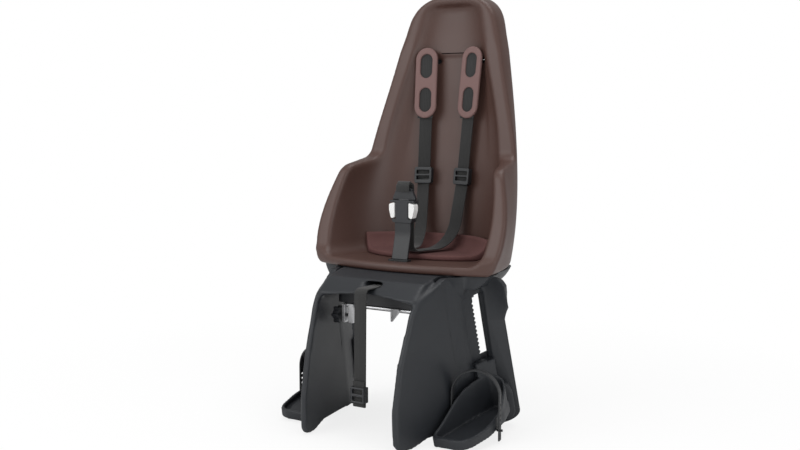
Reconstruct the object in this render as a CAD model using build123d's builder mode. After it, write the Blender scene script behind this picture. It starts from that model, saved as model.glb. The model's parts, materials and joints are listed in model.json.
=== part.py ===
from build123d import *
import os

os.makedirs("parts", exist_ok=True)

# Frame. X runs across the seat, the child faces -Y, Z is up and the legs stand on Z = 0.
# Depths are measured back from the tips of the front legs, heights from the floor.
tip_y = -181.0
level = Plane(origin=(0, tip_y, 0))
profile = Plane(origin=(0, tip_y, 0), x_dir=(0, 1, 0), z_dir=(1, 0, 0))
front = Plane(origin=(0, tip_y, 0), x_dir=(1, 0, 0), z_dir=(0, -1, 0))
sides = {"left": 1, "right": -1}
reach = 300.0
clear_back = 640.0
clear_up = 900.0

# Seat shell
shell_bottom = 286.0
floor_thickness = 16.0
seat_floor = shell_bottom + floor_thickness
lip_height = 20.0
lip_top = shell_bottom + lip_height
lip_front = 105.0
lip_corner = 168.0
armrest_height = 470.0
armrest_front = 204.0
armrest_back = 281.0
back_edge_rise = 487.0
back_edge_slope = 0.16
shell_top = 797.0
head_half = 84.0
head_round = 72.0
shoulder_half = 128.0
shoulder_height = 640.0
rim_width = 18.0
outer_rim_round = 6.0
inner_rim_round = 8.0
head_edge_round = 4.0
head_depth = 345.0
lip_round = 6.0
bottom_round = 20.0
tub_round = 30.0
recess_depth = 2.5
recess_low = 450.0
recess_high = 684.0

# Harness
webbing_width = 26.0
webbing_thickness = 1.8
webbing_gap = 0.3
shoulder_x = 52.0
slot_height = 672.0
slot_width = 46.0
slot_gap = 9.0
strap_turn = 8.0
strap_lean = 28.0
strap_splay = 4.0
strap_tail = 3.0
adjuster_width = 36.0
adjuster_height = 32.0
adjuster_drop = 223.0
shoulder_pad_width = 46.0
shoulder_pad_length = 138.0
shoulder_pad_thickness = 7.0
pad_window_width = 25.0
pad_window_length = 47.0
seat_pad_thickness = 10.0

# Buckle
buckle_y = 157.0
buckle_half = 8.0
crotch_length = 70.0
crotch_width = 34.0
crotch_thickness = 4.0
anchor_height = 3.4
housing_height = 41.0
housing_half = 26.0
housing_foot = 20.0
housing_taper = 20.0
tongue_height = 21.5
button_travel = 2.0
button_gap = 0.4
button_inner = 15.5
button_proud = 1.0
button_depth = 13.0
blade_half = 11.0
blade_thickness = 3.0
blade_gap = 0.3

# Reflector on the back of the shell
reflector_height = 560.0
reflector_size = (76.0, 32.0)
reflector_back = 368.0

# Base and leg guards
guard_thickness = 12.0
seat_fit = 0.4
cup_wall = 3.5
cup_top = 352.0
deck_bottom = shell_bottom - 24
bridge_half = 104.0
safety_slot = deck_bottom + 3
safety_width = 25.0
safety_low = 60.0
keeper_low = 66.0
keeper_height = 28.0
crease_rounds = (60.0, 14.0)
slot_run = (44.0, 240.0)
slot_span = (57.0, 77.0)
channel_run = (40.0, 258.0)
channel_span = (30.0, 79.0)
channel_depth = 5.0
channel_round = 22.0
tooth_pitch = 8.0

# Footrests: they slide up and forward along the guards.
slide = Vector(-0.06, -0.22, 1.0).normalized()
slide_gap = 0.5
mount_run = (46.0, 120.0)
stem_run = (50.0, 116.0)
slider_lap = 8.0
slider_thickness = 4.0
heel_gap = 2.5
heel_depth = 22.0
sole_thickness = 7.0
tray_wall = 4.5
heel_height = 62.0
foot_strap_width = 12.0
foot_strap_thickness = 2.5

# Carrier fixing under the base
adapter_half = 94.0
adapter_front = 74.0
adapter_back = 262.0
adapter_bottom = 228.0
adapter_wall = 5.0
rod_radius = 4.0
rod_half = 78.0
rod_y = (adapter_front + adapter_wall / 2, adapter_back - adapter_wall / 2)
carrier_screws = [(x, y) for x in (-55, 55) for y in (165, 235)]
screw_radius = 2.5
screw_head = 4.5
hook_span = (28.0, 46.0)
hook_drop = 24.0
hook_thickness = 3.0
clamp_drop = 19.0
clamp_width = 20.0
bracket_x = -76.0
bracket_thickness = 6.0
jaw_x = -62.0
jaw_thickness = 10.0
knob_x = -96.0
knob_radius = 13.0
knob_length = 14.0
clamp_screw_radius = 3.0
clamp_screw_length = 25.5
running_gap = 0.05


def export(part, name):
    part.label = name
    export_step(part, f"parts/{name}.step")


def bowl(height, y_mouth, w_mouth, w_corner, y_corner, y_back, grow=0.0):
    """A tub section: straight across the mouth, flared flanks and a rounded back."""
    mouth = Vector(w_mouth + grow, y_mouth)
    corner = Vector(w_corner + grow, y_corner + 0.6 * grow)
    flank = (mouth + corner) * 0.5 + Vector(3, 0)
    half = [mouth, flank, corner]
    other = [Vector(-point.X, point.Y) for point in half]
    with BuildSketch(level.offset(height)) as section:
        with BuildLine():
            add(
                Edge.make_spline(
                    [*other, Vector(0, y_back + grow), *reversed(half)],
                    parameters=[0, 0.135, 0.27, 0.5, 0.73, 0.865, 1],
                )
            )
            Line(mouth, other[0])
        make_face()
    return section.sketch


# height, mouth depth, mouth half width, corner half width, corner depth, back depth
shell_stations = [
    (shell_bottom, 75, 204, 158, 272, 328),
    (400, 122, 217, 166, 282, 345),
    (500, 163, 172, 152, 310, 355),
    (640, 220, 112, 122, 345, 367),
    (810, 290, 64, 86, 376, 390),
]
tub_stations = [
    (seat_floor, 95, 180, 122, 250, 298),
    (400, 120, 194, 134, 262, 308),
    (500, 165, 158, 126, 285, 318),
    (640, 225, 100, 92, 311, 332),
    (810, 290, 56, 58, 336, 354),
]


def side_outline():
    with BuildSketch(profile) as outline:
        with BuildLine():
            FilletPolyline(
                (80, 0),
                (80, lip_top),
                (144, lip_top),
                (armrest_front, armrest_height),
                (armrest_back, back_edge_rise),
                (armrest_back + back_edge_slope * (clear_up - back_edge_rise), clear_up),
                (clear_back, clear_up),
                (clear_back, 0),
                radius=[1, 30, 30, 24, 1, 1],
            )
            Line((clear_back, 0), (80, 0))
        make_face()
    return outline.sketch


def head_outline(inset):
    right = [
        (head_half, shell_top),
        (shoulder_half, shoulder_height),
        (reach, shoulder_height),
        (reach, 0),
    ]
    left = [(-x, z) for x, z in reversed(right)]
    with BuildSketch(front) as outline:
        with BuildLine():
            FilletPolyline(
                *left,
                *right,
                radius=[5, 5, head_round, head_round, 5, 5],
            )
            Line(right[-1], left[0])
        make_face()
        if inset:
            offset(amount=-inset, kind=Kind.INTERSECTION)
    return outline.sketch


def plan_outline(inset):
    with BuildSketch(level) as outline:
        with BuildLine():
            corner = lip_corner + inset
            ThreePointArc((-240, corner), (0, lip_front + inset), (240, corner))
            Polyline((240, corner), (240, clear_back), (-240, clear_back), (-240, corner))
        make_face()
    return outline.sketch


def rounded(plane, corners):
    """A closed outline drawn through (x, y, corner radius) points."""
    with BuildSketch(plane) as outline:
        with BuildLine():
            Polyline(*[corner[:2] for corner in corners], close=True)
        make_face()
        for x, y, radius in corners:
            if radius:
                fillet(outline.vertices().sort_by_distance((x, y))[0], radius)
    return outline.sketch


def tub(deeper=0.0):
    with BuildPart() as hollow:
        loft([bowl(*station, grow=deeper) for station in tub_stations])
        fillet(hollow.edges().group_by(Axis.Z)[0].sort_by(Axis.Y)[1:], radius=tub_round)
    return hollow.part


with BuildPart() as shell_body:
    loft([bowl(*station) for station in shell_stations])
    fillet(shell_body.edges().group_by(Axis.Z)[0].sort_by(Axis.Y)[1:], radius=bottom_round)

with BuildPart() as sitting_space:
    add(tub())
    extrude(head_outline(rim_width), amount=-clear_back, mode=Mode.INTERSECT)

# The back panel is a shallow recess that fades out towards the seat.
recess_fade = [-2.0, -2.0, 0.6, recess_depth, recess_depth]
with BuildPart() as back_recess:
    loft([bowl(*station, grow=depth) for station, depth in zip(tub_stations, recess_fade)])
    with BuildSketch(front):
        with BuildLine():
            FilletPolyline(
                (102, recess_low),
                (72, recess_high),
                (-72, recess_high),
                (-102, recess_low),
                radius=24,
                close=True,
            )
        make_face()
    extrude(amount=-clear_back, mode=Mode.INTERSECT)

front_line = side_outline().wire()


def on_front(edge):
    """Whether an edge runs along the cut-away front of the shell, above its lip."""
    extent = edge.bounding_box()
    middle = edge @ 0.5
    along = extent.size.Y + extent.size.Z > 1 and extent.min.Z > lip_top - 1
    return along and front_line.distance_to(Vector(0, middle.Y, middle.Z)) < 0.1


def on_flank(edge):
    return on_front(edge) and abs(edge.center().X) > rim_width


def on_inner_rim(edge):
    return on_front(edge) and edge.bounding_box().min.Z > lip_top + rim_width


def on_head(edge):
    extent = edge.bounding_box()
    return extent.min.Z > shoulder_height and extent.max.Y < tip_y + head_depth


def on_lip(edge):
    extent = edge.bounding_box()
    return extent.max.Z < seat_floor + 1 and extent.min.Y < tip_y + lip_front + 1


with BuildPart() as seat_shell:
    add(shell_body.part)
    extrude(side_outline(), amount=reach, both=True, mode=Mode.INTERSECT)
    fillet(seat_shell.edges().filter_by(on_flank), radius=outer_rim_round)
    extrude(head_outline(0), amount=-clear_back, mode=Mode.INTERSECT)
    extrude(plan_outline(0), amount=clear_up, mode=Mode.INTERSECT)
    fillet(seat_shell.edges().filter_by(on_head), radius=head_edge_round)
    add(sitting_space.part, mode=Mode.SUBTRACT)
    fillet(seat_shell.edges(Select.LAST).filter_by(on_inner_rim), radius=inner_rim_round)
    fillet(seat_shell.edges().filter_by(on_lip), radius=lip_round)
    add(back_recess.part, mode=Mode.SUBTRACT)
    with BuildSketch(front):
        with Locations((shoulder_x, slot_height), (-shoulder_x, slot_height)):
            SlotOverall(slot_width, slot_gap)
    extrude(amount=-clear_back, mode=Mode.SUBTRACT)
export(seat_shell.part, "seat_shell")


# Leg guards: each is one bent panel that leans along the slide direction.
guard_floor = [(97, -59), (140, 161), (166, 237), (210, 266)]


def guard_section(height, points):
    with BuildSketch(level.offset(height)) as section:
        with BuildLine():
            FilletPolyline(*points, radius=list(crease_rounds))
            offset(amount=guard_thickness, side=Side.LEFT)
        make_face()
    return section.sketch


def lean(point, height):
    return (point[0] + slide.X / slide.Z * height, point[1] + slide.Y / slide.Z * height)


knee = 200.0
guard_knee = [lean(point, knee) for point in guard_floor]
guard_top = [lean(point, shell_bottom) for point in guard_floor[:3]] + [(214, 172)]

ridge_foot = Vector(guard_floor[1][0], guard_floor[1][1] + tip_y, 0)
crease_foot = Vector(guard_floor[2][0], guard_floor[2][1] + tip_y, 0)
rear_foot = Vector(guard_floor[3][0], guard_floor[3][1] + tip_y, 0)
rail_normal = (crease_foot - ridge_foot).cross(slide).normalized()
rail = Plane(origin=ridge_foot, x_dir=slide.cross(rail_normal), z_dir=rail_normal)
heel_normal = (rear_foot - crease_foot).cross(slide).normalized()
heel_rail = Plane(origin=crease_foot, x_dir=slide.cross(heel_normal), z_dir=heel_normal)


def span_box(plane, across, along, depth):
    """A block on a slanted plane, given by its spans across, along and out of it."""
    with BuildPart() as block:
        with BuildSketch(plane.offset(depth[0])):
            with Locations(((across[0] + across[1]) / 2, (along[0] + along[1]) / 2)):
                Rectangle(across[1] - across[0], along[1] - along[0])
        extrude(amount=depth[1] - depth[0])
    return block.part


guard_side = [
    (100, 284, 20),
    (24, 247, 60),
    (-9, 149, 100),
    (-26, 66, 60),
    (-22, 0, 18),
    (16, 0, 10),
    (52, 10, 20),
    (170, 10, 20),
    (206, 0, 10),
    (257, 0, 24),
    (213, 200, 80),
    (196, 284, 34),
]
guard_front = [(60, -10, 0), (240, -10, 0), (208, 284, 26), (60, 284, 0)]
with BuildPart() as guard:
    sections = [(0, guard_floor), (knee, guard_knee), (shell_bottom, guard_top)]
    loft([guard_section(*section) for section in sections], ruled=True)
    extrude(rounded(profile, guard_side), amount=reach, mode=Mode.INTERSECT)
    extrude(rounded(front, guard_front), amount=-reach - 60, mode=Mode.INTERSECT, both=True)
    channel = [
        (channel_span[0], channel_run[0], 0),
        (channel_span[0], channel_run[1], channel_round),
        (channel_span[1], channel_run[1], channel_round),
        (channel_span[1], channel_run[0], 0),
    ]
    extrude(rounded(rail.offset(-channel_depth), channel), amount=reach, mode=Mode.SUBTRACT)
    add(span_box(rail, slot_span, slot_run, (-reach, reach)), mode=Mode.SUBTRACT)
    with BuildSketch(rail):
        teeth = int((slot_run[1] - slot_run[0]) / tooth_pitch) - 2
        with Locations((slot_span[0], sum(slot_run) / 2)):
            with GridLocations(tooth_pitch, tooth_pitch, 1, teeth):
                Rectangle(tooth_pitch / 2, tooth_pitch / 2, rotation=45)
    extrude(amount=reach, both=True, mode=Mode.SUBTRACT)

with BuildPart() as cup_room:
    loft([bowl(*station, grow=seat_fit) for station in shell_stations])
    fillet(cup_room.edges().group_by(Axis.Z)[0].sort_by(Axis.Y)[1:], radius=bottom_round)

cup_deck = (deck_bottom, 120, 162, 138, 258, 312)
with BuildPart() as base:
    cup_sections = [bowl(*station, grow=seat_fit + cup_wall) for station in shell_stations[:2]]
    loft([bowl(*cup_deck), *cup_sections])
    with BuildSketch(profile):
        with BuildLine():
            Polyline(
                (90, 0),
                (90, shell_bottom),
                (190, shell_bottom),
                (288, cup_top),
                (clear_back, cup_top),
                (clear_back, 0),
                close=True,
            )
        make_face()
    extrude(amount=reach, both=True, mode=Mode.INTERSECT)
    extrude(plan_outline(12), amount=clear_up, mode=Mode.INTERSECT)
    add(cup_room.part, mode=Mode.SUBTRACT)
    with BuildSketch(level.offset(deck_bottom)):
        with BuildLine():
            FilletPolyline(
                (96, 128), (120, 250), (70, 298), (-70, 298), (-120, 250), (-96, 128), radius=14, close=True
            )
        make_face()
    extrude(amount=18, mode=Mode.SUBTRACT)
    with BuildSketch(level.offset(deck_bottom)):
        with GridLocations(110, 1, 2, 1):
            with Locations((0, 205)):
                Rectangle(10, 190)
    extrude(amount=20)
    with BuildSketch(level.offset(deck_bottom)):
        with Locations(*carrier_screws):
            Circle(screw_radius)
    extrude(amount=12, mode=Mode.SUBTRACT)
    with BuildSketch(profile):
        with BuildLine():
            Polyline(
                (104, shell_bottom), (62, 277), (52, 270), (26, 250), (36, 243), (70, 262), (140, 264),
                (140, shell_bottom), close=True
            )
        make_face()
    extrude(amount=bridge_half, both=True)
    with BuildSketch(front):
        with BuildLine():
            ThreePointArc((-95, 245), (0, 254), (95, 245))
            Polyline((95, 245), (95, 200), (-95, 200), (-95, 245))
        make_face()
    extrude(amount=-60, mode=Mode.SUBTRACT)
    with BuildSketch(front):
        with Locations((0, safety_slot + slot_gap / 2)):
            SlotOverall(38, slot_gap)
    extrude(amount=-110, mode=Mode.SUBTRACT)
    add(guard.part)
    add(mirror(guard.part, about=Plane.YZ, mode=Mode.PRIVATE))
export(base.part, "base")

# Harness. Each shoulder strap comes out of its slot and hangs down in front of the back panel.
slot_mouth = 329.0


def strap_plane(side):
    """The plane of a shoulder strap's edge: X runs back through the slot, Y up the strap."""
    turn = Vector(1, 0, 0).rotate(Axis.Z, 90 - side * strap_turn)
    upward = Vector(side * strap_splay, 0, adjuster_drop)
    return Plane(
        origin=(side * shoulder_x, tip_y + slot_mouth, slot_height),
        x_dir=turn,
        z_dir=turn.cross(upward),
    )


def ribbon(plane, path, thickness, width):
    """A strap: a line drawn on a plane, thickened and drawn out to both sides of it."""
    with BuildPart() as strap:
        with BuildSketch(plane):
            with BuildLine() as line:
                add(path)
                offset(amount=thickness, side=Side.RIGHT)
            make_face()
        extrude(amount=width / 2, both=True)
    return strap.part


strap_slope = strap_lean / adjuster_drop
strap_end = adjuster_drop + strap_tail
with BuildLine() as shoulder_path:
    FilletPolyline((51, 26), (51, 0), (-5, 0), (-5 - strap_slope * strap_end, -strap_end), radius=5)

for name, side in sides.items():
    edge = strap_plane(side)
    with BuildPart() as shoulder_strap:
        add(ribbon(edge, shoulder_path.line, webbing_thickness, webbing_width))
    export(shoulder_strap.part, f"shoulder_strap_{name}")

    face = Plane(
        origin=edge.from_local_coords((-5, 0, 0)),
        x_dir=edge.z_dir,
        z_dir=(edge.x_dir * -1 + edge.y_dir * strap_slope),
    )
    with BuildPart() as shoulder_pad:
        with BuildSketch(face.offset(webbing_thickness + webbing_gap)) as pad_outline:
            with Locations((0, 26 - shoulder_pad_length / 2)):
                SlotOverall(shoulder_pad_length, shoulder_pad_width, rotation=90)
                with GridLocations(1, 66, 1, 2):
                    SlotOverall(pad_window_length, pad_window_width, rotation=90, mode=Mode.SUBTRACT)
        extrude(amount=shoulder_pad_thickness)
        fillet(shoulder_pad.edges().group_by(SortBy.LENGTH)[-1], radius=2.5)
    export(shoulder_pad.part, f"shoulder_pad_{name}")

    with BuildPart() as adjuster:
        with BuildSketch(face.offset(-5)):
            with Locations((0, -adjuster_drop)):
                RectangleRounded(adjuster_width, adjuster_height, 4)
        extrude(amount=11.5)
        with BuildSketch(face.offset(-2.8)):
            with Locations((0, -adjuster_drop)):
                Rectangle(27.4, adjuster_height + 10)
        extrude(amount=6.4, mode=Mode.SUBTRACT)
        with BuildSketch(face):
            with Locations((0, -adjuster_drop + 6), (0, -adjuster_drop - 5)):
                Rectangle(27, 7)
        extrude(amount=20, mode=Mode.SUBTRACT)
    export(adjuster.part, f"strap_adjuster_{name}")

    with BuildPart() as anchor:
        with BuildSketch(edge.offset(-22)):
            with Locations((48, 15)):
                Rectangle(16, 18)
        extrude(amount=44)
        with BuildSketch(edge.offset(-13.7)):
            with Locations((47.5, 15)):
                Rectangle(11, 40)
        extrude(amount=27.4, mode=Mode.SUBTRACT)
        add(seat_shell.part, mode=Mode.SUBTRACT)
    export(anchor.part, f"strap_anchor_{name}")

# Lap straps run from the adjusters down over the seat pad and up behind the buckle to its tongue.
lap_run = Vector(-40.8, -129.8, 0).normalized()
lap_start = Vector(43.4, tip_y + 296.0, 0)
lap_floor = seat_floor + 14.4
lap_top = slot_height - adjuster_drop - 5
lap_rise = 136.0
lap_layer = 2.4
housing_bottom = seat_floor + crotch_length
housing_top = housing_bottom + housing_height
tongue_top = housing_top + tongue_height
loop_height = tongue_top + 2.5
loop_radius = 6.6

for name, side in sides.items():
    layer = 0.0 if side > 0 else lap_layer
    run = Vector(side * lap_run.X, lap_run.Y, 0)
    lap_plane = Plane(
        origin=(side * lap_start.X - webbing_width / 2, lap_start.Y, 0),
        x_dir=run,
        z_dir=run.cross(Vector(0, 0, 1)),
    )
    rise = lap_rise - layer
    loop = loop_radius + layer
    with BuildPart() as lap_strap:
        with BuildSketch(lap_plane) as lap_section:
            with BuildLine():
                fall = FilletPolyline(
                    (-1, lap_top),
                    (27, lap_floor + layer),
                    (rise, lap_floor + layer),
                    (rise, loop_height),
                    radius=[34 - layer, 14 - layer],
                )
                over = ThreePointArc(
                    (rise, loop_height), (rise + loop, loop_height + loop), (rise + 2 * loop, loop_height)
                )
                Line((rise + 2 * loop, loop_height), (rise + 2 * loop, loop_height - 8))
                offset(amount=webbing_thickness, side=Side.LEFT)
            make_face()
        extrude(amount=webbing_width, dir=(1, 0, 0))
    export(lap_strap.part, f"lap_strap_{name}")

# Buckle: a housing on the crotch strap, a tongue on the lap straps and two sprung side buttons.
buckle_face = Plane(origin=(0, tip_y + buckle_y - buckle_half, 0), x_dir=(1, 0, 0), z_dir=(0, -1, 0))
button_top = housing_top - 4
button_low = housing_bottom + 7
button_outline = [
    (button_inner, button_top, 2),
    (housing_half + button_proud, button_top - 3, 3),
    (housing_half + button_proud, button_top - 14, 4),
    (housing_half - 3.5, button_low, 3),
    (button_inner, button_low + 3, 2),
]
with BuildPart() as housing:
    outline = [
        (housing_foot, housing_bottom, 4),
        (housing_half, housing_bottom + housing_taper, 8),
        (housing_half, housing_top, 2),
    ]
    other = [(-x, z, radius) for x, z, radius in reversed(outline)]
    extrude(rounded(buckle_face, outline + other), amount=-2 * buckle_half)
    pocket_width = housing_half - button_inner + button_travel + button_gap + 10
    pocket_height = button_top - button_low + 2 * button_gap
    with BuildSketch(buckle_face):
        with Locations((0, (button_top + button_low) / 2)):
            with GridLocations(2 * (housing_half + 10) - pocket_width, 1, 2, 1):
                Rectangle(pocket_width, pocket_height)
    extrude(amount=-button_depth - button_gap, mode=Mode.SUBTRACT)
    with BuildSketch(Plane(origin=(0, tip_y + buckle_y, housing_top))):
        Rectangle(2 * (blade_half + blade_gap), blade_thickness + 2 * blade_gap)
    extrude(amount=-26, mode=Mode.SUBTRACT)
export(housing.part, "buckle_housing")

for name, side in sides.items():
    with BuildPart() as button:
        corners = [(side * x, z, radius) for x, z, radius in button_outline]
        extrude(rounded(buckle_face.offset(button_proud), corners), amount=-button_depth - button_proud)
    export(button.part, f"release_button_{name}")

with BuildPart() as tongue:
    shoulder = housing_top + blade_gap
    outline = [(housing_half - 1.5, shoulder, 1), (housing_half - 2, shoulder + 4, 3), (16, tongue_top, 3)]
    other = [(-x, z, radius) for x, z, radius in reversed(outline)]
    extrude(rounded(buckle_face.offset(-buckle_half + 1), outline + other), amount=-7)
    with BuildSketch(Plane(origin=(0, tip_y + buckle_y, shoulder))):
        Rectangle(2 * blade_half, blade_thickness)
    extrude(amount=-22)
export(tongue.part, "buckle_tongue")

with BuildPart() as crotch_strap:
    strap_y = buckle_y - 1
    with BuildSketch(profile):
        with BuildLine():
            FilletPolyline(
                (strap_y - 12.4, seat_floor - 2),
                (strap_y, housing_bottom - 22),
                (strap_y, housing_bottom),
                radius=60,
            )
            offset(amount=crotch_thickness, side=Side.LEFT)
        make_face()
    extrude(amount=crotch_width / 2, both=True)
    split(bisect_by=Plane(origin=(0, 0, seat_floor + anchor_height)), keep=Keep.TOP)
export(crotch_strap.part, "crotch_strap")

with BuildPart() as crotch_anchor:
    with BuildSketch(level.offset(seat_floor)):
        with Locations((0, buckle_y - 15)):
            RectangleRounded(crotch_width + 8, 16, 3)
    extrude(amount=anchor_height)
export(crotch_anchor.part, "crotch_anchor")

with BuildPart() as seat_pad:
    add(tub(-webbing_gap))
    with BuildSketch(level.offset(seat_floor)):
        with Locations((0, 238)):
            Ellipse(142, 62)
    extrude(amount=38, mode=Mode.INTERSECT)
    with Locations((0, 0, seat_pad_thickness)):
        add(tub(-seat_pad_thickness), mode=Mode.SUBTRACT)
export(seat_pad.part, "seat_pad")

# Safety strap: it hangs from a slot in the front of the base and carries a plain keeper.
with BuildPart() as safety_strap:
    with BuildSketch(profile):
        with BuildLine():
            FilletPolyline((80, safety_slot), (18, safety_slot), (15, safety_low), radius=9)
            ThreePointArc((15, safety_low), (12.4, safety_low - 2.4), (10, safety_low))
            Line((10, safety_low), (10, keeper_low + keeper_height + 10))
            offset(amount=webbing_thickness, side=Side.RIGHT)
        make_face()
    extrude(amount=safety_width / 2, both=True)
export(safety_strap.part, "safety_strap")

with BuildPart() as safety_keeper:
    with BuildSketch(Plane(origin=(0, tip_y + 12.2, keeper_low))):
        Rectangle(safety_width + 9, 15)
        Rectangle(safety_width + 1, 10.4, mode=Mode.SUBTRACT)
    extrude(amount=keeper_height)
    with BuildSketch(front):
        with Locations((0, keeper_low + keeper_height / 2)):
            with GridLocations(1, 13, 1, 2):
                Rectangle(safety_width + 1, 8)
    extrude(amount=-12, mode=Mode.SUBTRACT)
export(safety_keeper.part, "safety_strap_keeper")

# Carrier fixing: a tray screwed under the base with two rods, a hook and a screw clamp.
with BuildPart() as adapter:
    with BuildSketch(level.offset(adapter_bottom)):
        with Locations((0, (adapter_front + adapter_back) / 2)):
            RectangleRounded(2 * adapter_half, adapter_back - adapter_front, 12)
    extrude(amount=deck_bottom - adapter_bottom)
    with BuildSketch(level.offset(adapter_bottom)):
        with Locations((0, (adapter_front + adapter_back) / 2)):
            RectangleRounded(
                2 * (adapter_half - adapter_wall), adapter_back - adapter_front - 2 * adapter_wall, 8
            )
    extrude(amount=deck_bottom - adapter_bottom - adapter_wall, mode=Mode.SUBTRACT)
    with BuildSketch(level.offset(deck_bottom)):
        with Locations(*carrier_screws):
            Circle(screw_radius)
    extrude(amount=-20, mode=Mode.SUBTRACT)
export(adapter.part, "rack_adapter")

with BuildPart() as carrier_bolts:
    with BuildSketch(level.offset(deck_bottom - adapter_wall)):
        with Locations(*carrier_screws):
            Circle(screw_radius)
    extrude(amount=adapter_wall + 11)
    with BuildSketch(level.offset(deck_bottom - adapter_wall)):
        with Locations(*carrier_screws):
            Circle(screw_head)
            RegularPolygon(2.3, 6, mode=Mode.SUBTRACT)
    extrude(amount=-4)
export(carrier_bolts.part, "carrier_screws")

rod_z = adapter_bottom - rod_radius
with BuildPart() as rods:
    for y in rod_y:
        with BuildSketch(Plane(origin=(-rod_half, tip_y + y, rod_z), x_dir=(0, 1, 0), z_dir=(1, 0, 0))):
            Circle(rod_radius)
        extrude(amount=2 * rod_half)
    fillet(rods.edges().filter_by(GeomType.CIRCLE), radius=2.5)
export(rods.part, "carrier_rods")

with BuildPart() as hook:
    with BuildSketch(front.offset(-rod_y[0] + rod_radius)):
        with BuildLine():
            FilletPolyline(
                (hook_span[0], rod_z + rod_radius - 1),
                (hook_span[1], rod_z + rod_radius - 1),
                (hook_span[1], rod_z - rod_radius + 2),
                (hook_span[0], rod_z - hook_drop),
                radius=2,
                close=True,
            )
        make_face()
    extrude(amount=hook_thickness)
export(hook.part, "carrier_hook")

# Clamp: the knob's screw runs in a bracket and draws the jaw along the front rod.
clamp_z = rod_z - clamp_drop
clamp_axis = Plane(origin=(0, tip_y + rod_y[0], clamp_z), x_dir=(0, 1, 0), z_dir=(1, 0, 0))
with BuildPart() as bracket:
    with BuildSketch(clamp_axis.offset(bracket_x)):
        with Locations((0, clamp_drop / 2 - 5)):
            Rectangle(clamp_width, clamp_drop + 14)
    extrude(amount=bracket_thickness)
    with BuildSketch(clamp_axis.offset(bracket_x)):
        Circle(clamp_screw_radius + running_gap)
        with Locations((0, clamp_drop)):
            Circle(rod_radius)
    extrude(amount=bracket_thickness, mode=Mode.SUBTRACT)
export(bracket.part, "clamp_bracket")

with BuildPart() as jaw:
    with BuildSketch(clamp_axis.offset(jaw_x)):
        with Locations((0, clamp_drop / 2 - 4.2)):
            Rectangle(clamp_width, clamp_drop + 15.6)
        with Locations((0, clamp_drop)):
            Circle(rod_radius + running_gap, mode=Mode.SUBTRACT)
    extrude(amount=jaw_thickness)
    with BuildSketch(clamp_axis.offset(jaw_x)):
        Circle(clamp_screw_radius + running_gap)
    extrude(amount=jaw_thickness - 4, mode=Mode.SUBTRACT)
export(jaw.part, "clamp_jaw")

with BuildPart() as knob:
    with BuildSketch(clamp_axis.offset(knob_x)):
        Circle(knob_radius)
        with PolarLocations(knob_radius, 6):
            Circle(3.6)
    extrude(amount=knob_length)
    fillet(knob.faces().sort_by(Axis.X)[0].edges(), radius=1.5)
    with BuildSketch(clamp_axis.offset(knob_x + knob_length)):
        Circle(clamp_screw_radius)
    extrude(amount=clamp_screw_length)
export(knob.part, "clamp_knob")

with BuildPart() as reflector:
    with BuildSketch(front.offset(-reflector_back + 18)):
        with Locations((0, reflector_height)):
            RectangleRounded(*reflector_size, 8)
    extrude(amount=-18)
    add(seat_shell.part, mode=Mode.SUBTRACT)
export(reflector.part, "rear_reflector")

# Footrests
foot = Plane(origin=(168, tip_y + 62, 3), x_dir=(1, 0, 0), z_dir=slide)
foot_side = Plane(origin=foot.origin, x_dir=foot.y_dir, z_dir=foot.x_dir)
foot_front = Plane(origin=foot.origin, x_dir=foot.x_dir, z_dir=foot.y_dir * -1)
sole = [(-38, 0, 10), (34, -4, 26), (46, 48, 40), (42, 104, 40), (30, 150, 12), (-2, 152, 10), (-18, 96, 60)]
tray_top = [(-30, 18, 0), (8, 18, 12), (70, 60, 30), (200, 60, 0), (200, 160, 0), (-30, 160, 0)]
tray_outer = [(2, 70, 10), (27, 18, 14), (90, 18, 0), (90, 160, 0), (2, 160, 0)]
heel_spine = [(1, 24, 6), (1, 88, 8), (20, 86, 8), (26, 66, 10), (26, 30, 10), (16, 14, 6)]


def mirrored(part, side):
    return part if side > 0 else mirror(part, about=Plane.YZ)


with BuildPart() as tray:
    sole_face = rounded(foot, sole)
    extrude(sole_face, amount=heel_height)
    extrude(rounded(foot_side, tray_top), amount=120, both=True, mode=Mode.SUBTRACT)
    extrude(rounded(foot_front, tray_outer), amount=220, both=True, mode=Mode.SUBTRACT)
    with BuildSketch(foot.offset(sole_thickness)) as room:
        add(rounded(Plane.XY, sole))
        offset(amount=-tray_wall)
    extrude(amount=100, mode=Mode.SUBTRACT)
    with BuildSketch(foot.offset(sole_thickness)):
        with Locations((6, 70)):
            with GridLocations(1, 14, 1, 6):
                SlotOverall(44, 5)
    extrude(amount=1.5)
    plate_span = (channel_span[0] + slide_gap, slot_span[0] + slide_gap)
    stem_span = (slot_span[0] + slide_gap, slot_span[1] - slide_gap)
    add(span_box(rail, plate_span, mount_run, (slide_gap - channel_depth, 10)))
    add(span_box(rail, stem_span, stem_run, (-guard_thickness - slide_gap, 10)))
    extrude(rounded(heel_rail.offset(heel_gap), heel_spine), amount=heel_depth)

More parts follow.
